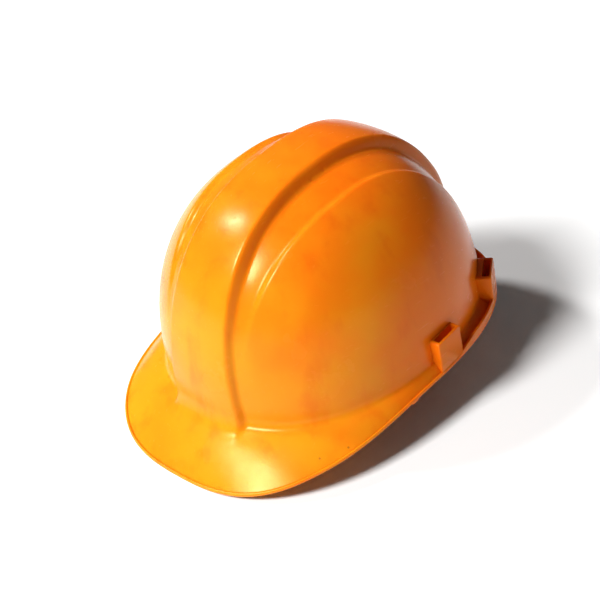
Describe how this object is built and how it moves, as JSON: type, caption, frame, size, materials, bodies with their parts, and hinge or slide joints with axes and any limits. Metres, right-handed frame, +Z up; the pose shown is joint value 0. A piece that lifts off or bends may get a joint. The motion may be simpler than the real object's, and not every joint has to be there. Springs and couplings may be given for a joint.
{
  "type": "hard hat",
  "caption": "Cap-style safety helmet: moulded shell with a raised crown ridge, front brim and side accessory slots, strap suspension, and a headband set by a wheel ratchet.",
  "frame": {"origin": "middle of the bounding box, on the table the hat stands on", "axes": "-Y to the front (brim), +Z up, +X to the wearer's left"},
  "size_m": [0.218, 0.2827, 0.1861],
  "materials": {
    "shell_plastic": "glossy amber moulded polyethylene, lightly scuffed",
    "white_plastic": "satin natural white moulded plastic",
    "black_plastic": "fine textured black moulded plastic",
    "webbing": "woven polyester webbing",
    "padding": "foam covered with knitted fabric",
    "screw_steel": "plated steel"
  },
  "bodies": {
    "hat": {"shell": "shell_plastic", "suspension_key_front_left": "white_plastic", "headband_hanger_front_left": "white_plastic", "suspension_key_rear_left": "white_plastic", "headband_hanger_rear_left": "white_plastic", "suspension_key_front_right": "white_plastic", "headband_hanger_front_right": "white_plastic", "suspension_key_rear_right": "white_plastic", "headband_hanger_rear_right": "white_plastic", "crown_strap_lower": "webbing", "crown_strap_upper": "webbing", "crown_pad": "padding", "crown_rivet": "white_plastic", "headband": "white_plastic", "brow_pad": "padding", "band_sleeve_left": "white_plastic", "band_sleeve_right": "white_plastic", "ratchet_cover": "black_plastic", "nape_cradle": "black_plastic", "nape_pad": "padding", "detent_spring": "white_plastic", "ratchet_rivet_upper_left": "black_plastic", "ratchet_rivet_upper_right": "black_plastic", "ratchet_rivet_lower_left": "black_plastic", "ratchet_rivet_lower_right": "black_plastic"},
    "adjusting_arm_left": {"adjusting_arm_left": "white_plastic"},
    "adjusting_arm_right": {"adjusting_arm_right": "white_plastic"},
    "ratchet_knob": {"knob": "black_plastic", "pinion": "white_plastic", "knob_screw": "screw_steel"}
  },
  "joints": [
    {"name": "arm_left_slide_round", "type": "hinge", "parent": "hat", "child": "adjusting_arm_left", "pos_m": [0, 0.0264, 0.05078], "axis": [0, 0.1219, 0.9925], "range_deg": [-14, 14]},
    {"name": "arm_right_slide_round", "type": "hinge", "parent": "hat", "child": "adjusting_arm_right", "pos_m": [0, 0.0264, 0.05078], "axis": [0, 0.1219, 0.9925], "range_deg": [-14, 14]},
    {"name": "ratchet_knob_turn", "type": "hinge", "parent": "hat", "child": "ratchet_knob", "pos_m": [0, 0.11771, 0.03957], "axis": [0, 0.9925, -0.1219], "range_deg": [-180, 180]}
  ],
  "couplings": [
    {"joint": "arm_right_slide_round", "follows": "arm_left_slide_round", "ratio": -1},
    {"joint": "ratchet_knob_turn", "follows": "arm_left_slide_round", "ratio": 12.8}
  ]
}
